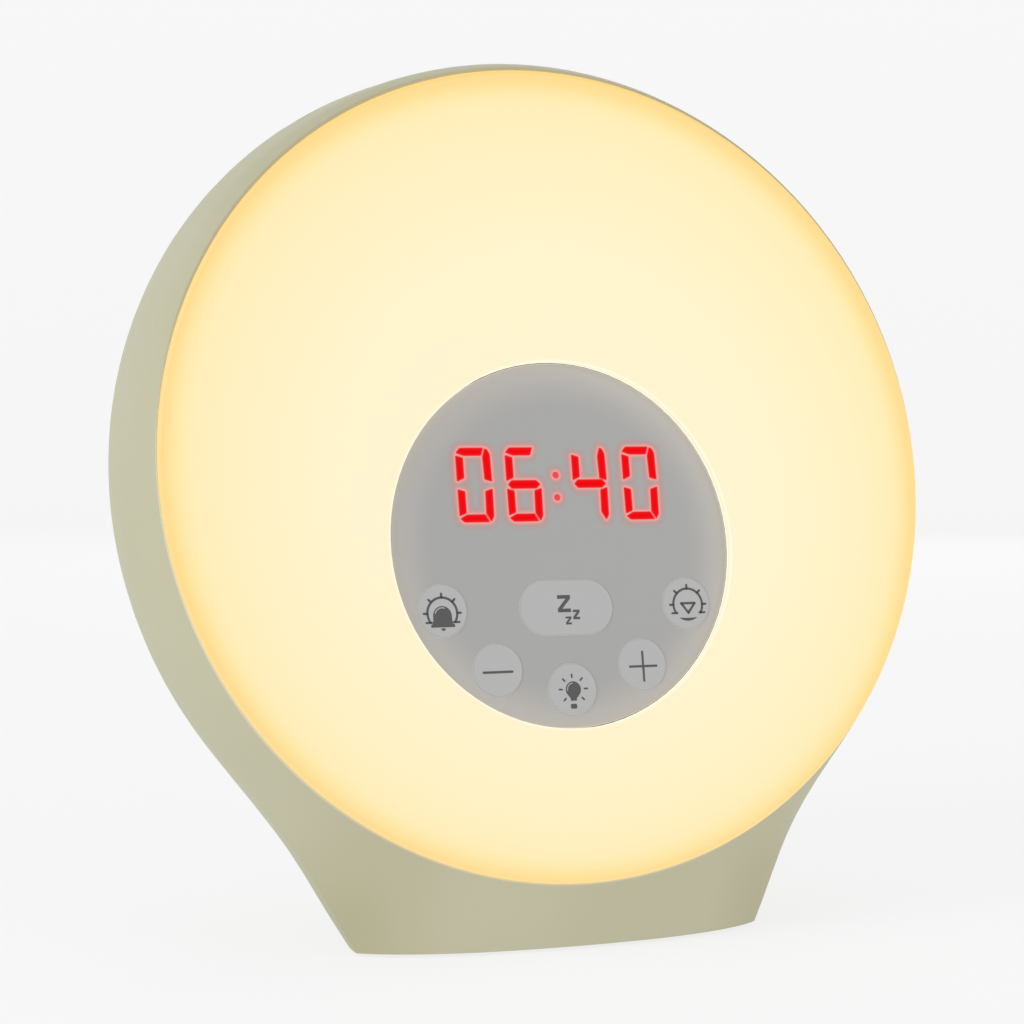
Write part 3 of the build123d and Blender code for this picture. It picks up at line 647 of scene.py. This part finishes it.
def makeBoard(slot):
    # solder resist over straight tracks that show as raised lines, and faint glass-fibre specks
    resist, track, pitch = boardFinishes[slot]
    finish = Finish(slot)
    right, _, up = finish.parts(finish.place(panelCentre, faceLean))
    turn = 2 * math.pi / pitch
    gate = finish.noise(finish.place(), 0.012, 0.0).within(0.46, 0.52)  # which way the tracks run
    level, upright = [(way * turn).wave().within(0.55, 0.75) for way in (up, right)]
    lines = level * gate + upright * (1 - gate)
    fibre = finish.noise(finish.place(), 0.0003, 1.0)
    return finish.wear({
        "Base Color": finish.mix(lines * 0.9 + fibre * 0.1, resist, track),
        "Roughness": 0.34 + fibre * 0.10 - lines * 0.05,
        "Normal": finish.bump(lines, 0.000035),
    })


# fibrous and open pieces: colour, painted shade colour in the pits, width of a fibre or pore, depth
softFinishes = {
    "speaker_paper": ((58, 56, 54), (40, 38, 36), 0.0007, 0.00008),
    "speaker_foam": ((62, 62, 64), (28, 28, 30), 0.0009, 0.00022),
    "magnet_ferrite": ((66, 66, 70), (50, 50, 54), 0.0011, 0.00003),
}


def makeSoft(slot):
    # open pores or felted fibres: painted shade dark in the pits, pale on the fibre
    colour, pitShadeColour, width, depth = softFinishes[slot]
    finish = Finish(slot)
    place = finish.place()
    pores = finish.cells(place, width)
    fibre = finish.noise(place, width * 1.6, 4.0)
    height = pores.within(0.1, 0.6) * 0.6 + fibre * 0.4
    return finish.wear({
        # painted shade: darker in the pits
        "Base Color": finish.mix(height, pitShadeColour, colour),
        "Roughness": 0.86 - height * 0.1,
        "Normal": finish.bump(height, depth),
    })


ribbonFinish = {
    "colour": (222, 220, 212),
    "stripe": (150, 150, 148),
    "pitch": 0.001,
    "mark": (196, 52, 44),
    "markEdge": (-0.0066, -0.0060),  # to the right of the middle, metres: full, gone
    "rise": 0.00012,
}


def makeRibbon():
    # flat cable: parallel wires under a pale film, one edge marked red
    finish = Finish("ribbonFilm")
    right = finish.parts(finish.place(panelCentre, faceLean))[0]
    wires = (right * (2 * math.pi / ribbonFinish["pitch"])).wave() * 0.5 + 0.5
    marked = 1 - right.within(*ribbonFinish["markEdge"])
    body = finish.mix(wires, ribbonFinish["stripe"], ribbonFinish["colour"])
    return finish.wear({
        "Base Color": finish.mix(marked, body, ribbonFinish["mark"]),
        "Roughness": 0.4 + wires * 0.1,
        "Normal": finish.bump(wires, ribbonFinish["rise"]),
    })


def makeFloorFinish():
    # pale paper, lit from behind more towards its far edge so that it reads as one even tone
    finish = Finish("studioFloorPaper")
    cloud = finish.noise(finish.place(), 0.5, 2.0)
    wallRadius = floorSetup["flatRadius"] + floorSetup["bendRadius"]
    outward = finish.farFrom(finish.place(), (1, 1, 0)) / wallRadius
    stops = [(share, linear4(rgb)) for share, rgb in floorSetup["glow"]]
    colour = floorSetup["colour"]
    return finish.wear({
        "Base Color": finish.mix(cloud, colour, tinted(colour, 0.99)),
        "Roughness": 0.85 + cloud * 0.05,
        "Specular IOR Level": 0.0,
        "Emission Color": finish.ramp(outward, stops),
        "Emission Strength": 1.0,
    })


def dressNodes():
    # one finish for each of the record's material slots, and each key's own, centred on its pad
    finishes = {
        "housing_shell": makeShell(),
        "opal_diffuser": makeGlow(),
        "panel_lens": makePanelLens(),
        "ribbon_film": makeRibbon(),
    }
    finishes.update((slot, makePlastic(slot)) for slot in plasticFinishes)
    finishes.update((slot, makeMetal(slot)) for slot in metalFinishes)
    finishes.update((slot, makeBoard(slot)) for slot in boardFinishes)
    finishes.update((slot, makeSoft(slot)) for slot in softFinishes)
    for name, node in frame["nodes"].items():
        for slot in node.material_slots:
            kind = slot.material.name
            slot.material = makePad(name) if kind == "key_pad" else finishes[kind]


# outlines on the face, in millimetres from the middle of a key or of the display

def rounded(outline, radius, steps=5):
    # each corner of a closed outline becomes a short curve that starts and ends radius away from it
    corner = np.asarray(outline, dtype=float)
    before = np.roll(corner, 1, axis=0) - corner
    after = np.roll(corner, -1, axis=0) - corner
    reachBefore = np.minimum(radius, np.linalg.norm(before, axis=1) / 2)
    reachAfter = np.minimum(radius, np.linalg.norm(after, axis=1) / 2)
    start = corner + before / np.linalg.norm(before, axis=1)[:, None] * reachBefore[:, None]
    end = corner + after / np.linalg.norm(after, axis=1)[:, None] * reachAfter[:, None]
    t = np.linspace(0, 1, steps)[None, :, None]
    curve = start[:, None] * (1 - t) ** 2 + corner[:, None] * 2 * t * (1 - t) + end[:, None] * t**2
    return curve.reshape(-1, 2)


def arc(radius, fromDegrees, toDegrees, centre=(0, 0), steps=40):
    # centre + radius * (cos, sin) of evenly spaced angles
    turn = np.radians(np.linspace(fromDegrees, toDegrees, steps))
    return np.column_stack([centre[0] + radius * np.cos(turn), centre[1] + radius * np.sin(turn)])


def strokeOutline(path, width, steps=7):
    # a pen line with round ends: the path shifted to its two sides, joined by half circles
    path = np.asarray(path, dtype=float)
    ahead = np.gradient(path, axis=0)
    ahead /= np.linalg.norm(ahead, axis=1)[:, None]
    left = np.column_stack([-ahead[:, 1], ahead[:, 0]]) * width / 2
    turn = np.linspace(0, math.pi, steps)[1:-1, None]
    tip = path[-1] + left[-1] * np.cos(turn) + ahead[-1] * width / 2 * np.sin(turn)
    tail = path[0] - left[0] * np.cos(turn) - ahead[0] * width / 2 * np.sin(turn)
    return np.concatenate([path + left, tip, (path - left)[::-1], tail])


def ray(centre, degrees, inner, outer, width):
    # a short pen line outward from a centre, between two radii
    ends = np.array([inner, outer])[:, None]
    turn = math.radians(degrees)
    path = np.array(centre) + ends * np.array([[math.cos(turn), math.sin(turn)]])
    return strokeOutline(path, width)


def signedArea(flat):
    # half the sum of the corners' cross products; positive for a loop that runs anticlockwise
    following = np.roll(flat, -1, axis=0)
    return float(np.sum(flat[:, 0] * following[:, 1] - following[:, 0] * flat[:, 1])) / 2


inkFilm = {
    "thickness": 0.00002,
    "lift": 0.00003,  # top of the film above what carries it
    "colour": (75, 75, 74),
    "paleColour": (160, 160, 160),
}


def addInk(name, outlines, middle, height, body, finish):
    # flat printed shapes, a film thick, with their top at a height along the face's outward axis
    corners = []
    faces = []
    for outline in outlines:
        flat = np.asarray(outline) * mm + middle
        if signedArea(flat) < 0:
            flat = flat[::-1]
        first = sum(len(part) for part in corners)
        corners.append(onFace(flat, height))
        faces.append(np.arange(first, first + len(flat)))
    piece = addMesh(name, np.concatenate(corners), faces)
    film = piece.modifiers.new("film", "SOLIDIFY")
    film.thickness = inkFilm["thickness"]
    film.offset = -1.0
    piece.data.materials.append(finish)
    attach(piece, body)


def makeInkFinish(name, colour):
    # screen-printed ink: slightly uneven cover and a dull gloss
    finish = Finish(name)
    cover = finish.noise(finish.place(), 0.0003, 2.0)
    return finish.wear({
        "Base Color": finish.mix(cover, tinted(colour, 0.92), tinted(colour, 1.12)),
        "Roughness": 0.55 + cover * 0.15,
        "Normal": finish.bump(cover, 0.000004),
    })


# the time

timeSetup = {
    "digits": "0640",
    "digitPlaces": (-19.1, -7.7, 7.85, 19.85),  # middle of each digit
    "rise": 13.15,  # middle of the digits above the middle of the panel
    "width": 8.1,
    "height": 16.1,
    "bar": 1.75,
    "bevel": 0.25,
    "dots": ((-0.15, 1.95), (-0.15, -2.95)),
    "dotRadius": 0.74,
    "dotShine": -0.03,  # dots are read as this near to their own edge, so they look paler
    "sheetMargin": 3.2,  # the sheet that carries the light reaches this far past the bars
    "sheetPitch": 0.25,
    "lift": 0.00003,
    "stopsFrom": -1.0,  # distance from a bar at the start of the stops, and the length they span
    "stopsLength": 3.0,
    "stops": [
        (0.060, (240, 10, 14)),
        (0.200, (246, 13, 20)),
        (0.285, (236, 30, 38)),
        (0.330, (234, 84, 88)),
        (0.368, (250, 164, 157)),
        (0.425, (240, 176, 170)),
        (0.600, (224, 170, 165)),
    ],
    "haloReach": (0.05, 2.1),  # the light is full inside the first distance and gone at the second
    "haloPower": 0.46,
}

litBars = {"0": "abcdef", "4": "bcfg", "6": "acdefg"}


def digitBars(width, height, bar):
    # the seven bars of a digit from its lower left corner; left joints are flat, right joints steep
    w, h, t, m = width, height, bar, height / 2
    return {
        "a": [(0.10, h - 1.10), (1.05, h), (w - 1.55, h), (w - 2.15, h - t), (t + 0.15, h - t)],
        "b": [
            (w - 1.30, h - 0.12), (w - 0.62, h - 0.42), (w - 0.10, h - 1.50),
            (w, m + 0.66), (w - t, m + 1.16), (w - 1.92, h - 2.00),
        ],
        "c": [
            (w, m - 0.80), (w - t, m - 1.34), (w - 1.88, 1.86),
            (w - 0.78, 0.05), (w - 0.10, 1.20),
        ],
        "d": [(0.18, 0.84), (t + 0.05, t - 0.04), (w - 2.10, t - 0.04), (w - 1.12, 0), (1.15, 0)],
        "e": [(0, m - 0.85), (t, m - 1.34), (t, 1.98), (0.06, 1.34)],
        "f": [(0, h - 1.62), (t, h - 2.14), (t, m + 1.50), (0, m + 0.74)],
        "g": [
            (0.28, m), (1.15, m + 0.92), (w - 1.20, m + 0.92),
            (w - 0.20, m), (w - 1.20, m - 0.92), (1.15, m - 0.92),
        ],
    }


def timeOutlines():
    # the lit bars of all digits and the two dots, each a closed convex outline
    barShapes = digitBars(timeSetup["width"], timeSetup["height"], timeSetup["bar"])
    bars = []
    for digit, middle in zip(timeSetup["digits"], timeSetup["digitPlaces"]):
        corner = np.array([middle - timeSetup["width"] / 2, -timeSetup["height"] / 2])
        bars += [rounded(barShapes[bar], timeSetup["bevel"]) + corner for bar in litBars[digit]]
    dots = [arc(timeSetup["dotRadius"], 0, 345, dot, 24) for dot in timeSetup["dots"]]
    return bars, dots


def distanceTo(points, outline):
    # distance of points from the nearest spot on a convex closed outline, negative inside it
    start = outline
    edge = np.roll(outline, -1, axis=0) - start
    offset = points[:, None] - start
    squared = np.maximum(np.sum(edge**2, axis=1), 1e-12)
    share = np.clip(np.sum(offset * edge, axis=2) / squared, 0, 1)
    away = np.linalg.norm(offset - share[..., None] * edge, axis=2).min(axis=1)
    side = edge[:, 0] * offset[..., 1] - edge[:, 1] * offset[..., 0]
    inside = np.all(side >= 0, axis=1) | np.all(side <= 0, axis=1)
    return np.where(inside, -away, away)


def makeTimeFinish():
    # red light behind the lens: pure red in a bar, a pink line along its edge, a fading halo
    finish = Finish("timeLight")
    away = finish.node("Attribute", {"attribute_name": "awayFromBar"}, {}, "Fac")
    share = (away - timeSetup["stopsFrom"]) / timeSetup["stopsLength"]
    stops = [(place, linear4(rgb)) for place, rgb in timeSetup["stops"]]
    speckle = finish.noise(finish.place(), 0.0005, 1.0)
    return finish.wear({
        "Base Color": finish.mix(speckle, (14, 1, 1), (18, 2, 2)),
        "Roughness": 0.40 + speckle * 0.05,
        "Emission Color": finish.ramp(share, stops),
        "Specular IOR Level": 0.0,
        "Emission Strength": 0.98,
        "Alpha": 1 - away.within(*timeSetup["haloReach"]) ** timeSetup["haloPower"],
    })


def addTime():
    # a flat sheet of small squares just above the panel, each corner with its distance from a bar
    bars, dots = timeOutlines()
    outlines = bars + dots
    middle = panelMiddle[:2] + np.array([0, timeSetup["rise"] * mm])
    margin = timeSetup["sheetMargin"]
    low = np.min([outline.min(axis=0) for outline in outlines], axis=0) - margin
    high = np.max([outline.max(axis=0) for outline in outlines], axis=0) + margin
    columns, rows = np.ceil((high - low) / timeSetup["sheetPitch"]).astype(int) + 1
    across = np.linspace(low[0], high[0], columns)
    upward = np.linspace(low[1], high[1], rows)
    right, up = np.meshgrid(across, upward)
    points = np.column_stack([right.ravel(), up.ravel()])
    fromBars = np.min([distanceTo(points, outline) for outline in bars], axis=0)
    fromDots = np.min([distanceTo(points, outline) for outline in dots], axis=0)
    away = np.minimum(fromBars, np.maximum(fromDots, timeSetup["dotShine"]))
    corners = onFace(points * mm + middle, panelFront + timeSetup["lift"])
    sheet = addMesh("timeLight", corners, gridFaces(rows, columns, False))
    glow = sheet.data.attributes.new("awayFromBar", "FLOAT", "POINT")
    glow.data.foreach_set("value", away.astype(np.float32))
    sheet.data.materials.append(makeTimeFinish())
    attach(sheet, "housing")
    print("stage: time", timeSetup["digits"], "with", len(outlines), "lit shapes")


# the signs on the keys

signSetup = {
    "pen": 0.50,
    "rayLength": 0.80,  # from the middle of the ring's line to the end of a ray
    "rayAngles": (0, 45, 90, 135, 180),
    "tick": (-0.28, 0.98),  # a tick's inner and outer end, outward from the end of the ring
    "tickPen": 0.45,
}


def sunRing(centre, radius, lowest):
    # a ring open at the bottom, with short rays round its upper part and a flat tick at each end
    pen = signSetup["pen"]
    outer = radius + signSetup["rayLength"]
    outlines = [strokeOutline(arc(radius, 180 - lowest, lowest, centre), pen)]
    outlines += [ray(centre, angle, radius, outer, pen) for angle in signSetup["rayAngles"]]
    turn = math.radians(lowest)
    x, y = radius * math.cos(turn), radius * math.sin(turn)
    for side in (-1, 1):
        tick = np.array([[side * (x + end), y] for end in signSetup["tick"]]) + np.array(centre)
        outlines.append(strokeOutline(tick, signSetup["tickPen"]))
    return outlines


alarmSetup = {
    "ring": ((0.0, -0.51), 3.36, -35),  # centre, radius, angle of its ends
    "domeCentre": (0.0, -1.06),
    "domeRadius": 2.10,
    "side": [(2.14, -2.0), (2.25, -2.65), (2.70, -2.98), (2.70, -3.47)],
    "clapper": [(-0.50, -3.70), (0.55, -3.70), (0.48, -4.02), (0.05, -4.28), (-0.40, -4.02)],
    "glint": (1.72, 158, 72),  # radius about the dome's centre, angles of its ends
    "glintPen": 0.24,
}


def alarmSign():
    # a bell in the ring: a dome over flared sides, as half a profile and its mirror image
    dome = arc(alarmSetup["domeRadius"], 90, 0, alarmSetup["domeCentre"], 14)
    half = np.concatenate([dome, alarmSetup["side"]])
    bell = np.concatenate([half, half[:0:-1] * [-1, 1]])  # the top's one corner isn't repeated
    return sunRing(*alarmSetup["ring"]) + [bell, rounded(alarmSetup["clapper"], 0.15)]


sunsetSetup = {
    "ring": ((0.35, -0.24), 3.475, -32),
    "arrow": [(-1.22, 0.03), (2.02, 0.03), (0.37, -2.08)],
    "arrowPen": 0.52,
    "horizonMiddle": 0.24,
    "horizonHalf": 2.15,
    "horizonUpper": (-3.20, 0.12),  # height in the middle, and how much the ends rise
    "horizonLower": (-3.84, 0.72),
}


def sunsetSign():
    # an arrowhead in the ring over a horizon that lies between two parabolas
    corner = sunsetSetup["arrow"]
    ends = zip(corner, corner[1:] + corner[:1])
    arrow = [strokeOutline(np.linspace(*pair, 6), sunsetSetup["arrowPen"]) for pair in ends]
    along = np.linspace(-1, 1, 15)
    across = sunsetSetup["horizonMiddle"] + sunsetSetup["horizonHalf"] * along
    upper, lower = [
        np.column_stack([across, middle + rise * along**2])
        for middle, rise in (sunsetSetup["horizonUpper"], sunsetSetup["horizonLower"])
    ]
    return sunRing(*sunsetSetup["ring"]) + arrow + [np.concatenate([lower, upper[-2:0:-1]])]


# each letter's width, height, thickness of its level bars, and lower left corner
snoozeSetup = [
    (3.00, 3.70, 0.78, (-2.02, -1.00)),
    (1.58, 2.08, 0.52, (1.42, -2.60)),
    (1.35, 1.72, 0.42, (-0.38, -3.66)),
]


def letterZ(width, height, bar, corner):
    # two level bars joined by a slanting one
    slant = bar * 1.35
    outline = [
        (0, 0), (width, 0), (width, bar), (slant, bar), (width, height - bar),
        (width, height), (0, height), (0, height - bar), (width - slant, height - bar), (0, bar),
    ]
    return np.array(outline) + np.array(corner)


def snoozeSign():
    # three letters that shrink as they drift down
    return [letterZ(*letter) for letter in snoozeSetup]


minusSetup = {"reach": 3.28, "rise": -0.38, "pen": 0.52}


def minusSign():
    # one level pen line
    reach, rise = minusSetup["reach"], minusSetup["rise"]
    return [strokeOutline([(-reach, rise), (reach, rise)], minusSetup["pen"])]


plusSetup = {"reach": 3.35, "halfPen": 0.25, "bevel": 0.12, "middle": (0.15, -0.35)}


def plusSign():
    # one arm's three corners, turned by quarter turns
    reach, half = plusSetup["reach"], plusSetup["halfPen"]
    arm = np.array([(half, half), (reach, half), (reach, -half)])
    outline = []
    for _ in range(4):
        outline.append(arm)
        arm = np.column_stack([arm[:, 1], -arm[:, 0]])
    return [rounded(np.concatenate(outline), plusSetup["bevel"], 4) + plusSetup["middle"]]


bulbSetup = {
    "centre": (0.16, 0.07),
    "radius": 1.76,
    "neck": [
        (-0.86, -1.75), (-0.74, -2.0), (-0.74, -2.4),
        (0.64, -2.4), (0.64, -2.0), (0.80, -1.75),
    ],
    "cap": [(-0.68, -4.02), (0.76, -4.02), (0.76, -2.98), (-0.68, -2.98)],
    "rayAngles": (-43, 2, 47, 93, 135, 178, 225),
    "rays": (2.62, 3.25, 0.38),  # inner radius, outer radius, pen
    "glint": (1.38, 188, 98),  # radius about the centre, angles of its ends
    "glintPen": 0.22,
}


def lightSign():
    # a bulb as most of a circle closed by its neck, a cap below it and rays around
    centre = bulbSetup["centre"]
    globe = arc(bulbSetup["radius"], -36, 216, centre, 30)
    bulb = np.concatenate([globe, np.array(bulbSetup["neck"]) + centre])
    rays = [ray(centre, angle, *bulbSetup["rays"]) for angle in bulbSetup["rayAngles"]]
    return [bulb, rounded(bulbSetup["cap"], 0.35)] + rays


def glints():
    # pale curves inside the bell and the bulb, printed over them
    bell = arc(*alarmSetup["glint"], alarmSetup["domeCentre"])
    bulb = arc(*bulbSetup["glint"], bulbSetup["centre"])
    return {
        "alarm": [strokeOutline(bell, alarmSetup["glintPen"])],
        "light": [strokeOutline(bulb, bulbSetup["glintPen"])],
    }


def addSigns():
    # each sign is centred on its key's plunger and rides with the key
    ink = makeInkFinish("keyInk", inkFilm["colour"])
    paleInk = makeInkFinish("keyPaleInk", inkFilm["paleColour"])
    signs = {
        "alarm": alarmSign(), "sunset": sunsetSign(), "minus": minusSign(),
        "plus": plusSign(), "light": lightSign(), "snooze": snoozeSign(),
    }
    paleSigns = glints()
    for key, outlines in signs.items():
        body = key + "_key"
        middle = faceMiddle(key + "_plunger")[:2]
        height = faceSpan(body)[1][2] + inkFilm["lift"]
        addInk(key + "Sign", outlines, middle, height, body, ink)
        if key in paleSigns:
            over = height + inkFilm["thickness"]
            addInk(key + "Glint", paleSigns[key], middle, over, body, paleInk)
    print("stage: signs on", len(signs), "keys")


addCamera()
floor = addFloor()
floor.data.materials.append(makeFloorFinish())
addLights()
dressNodes()
print("stage: finishes on all nodes")
addTime()
addSigns()
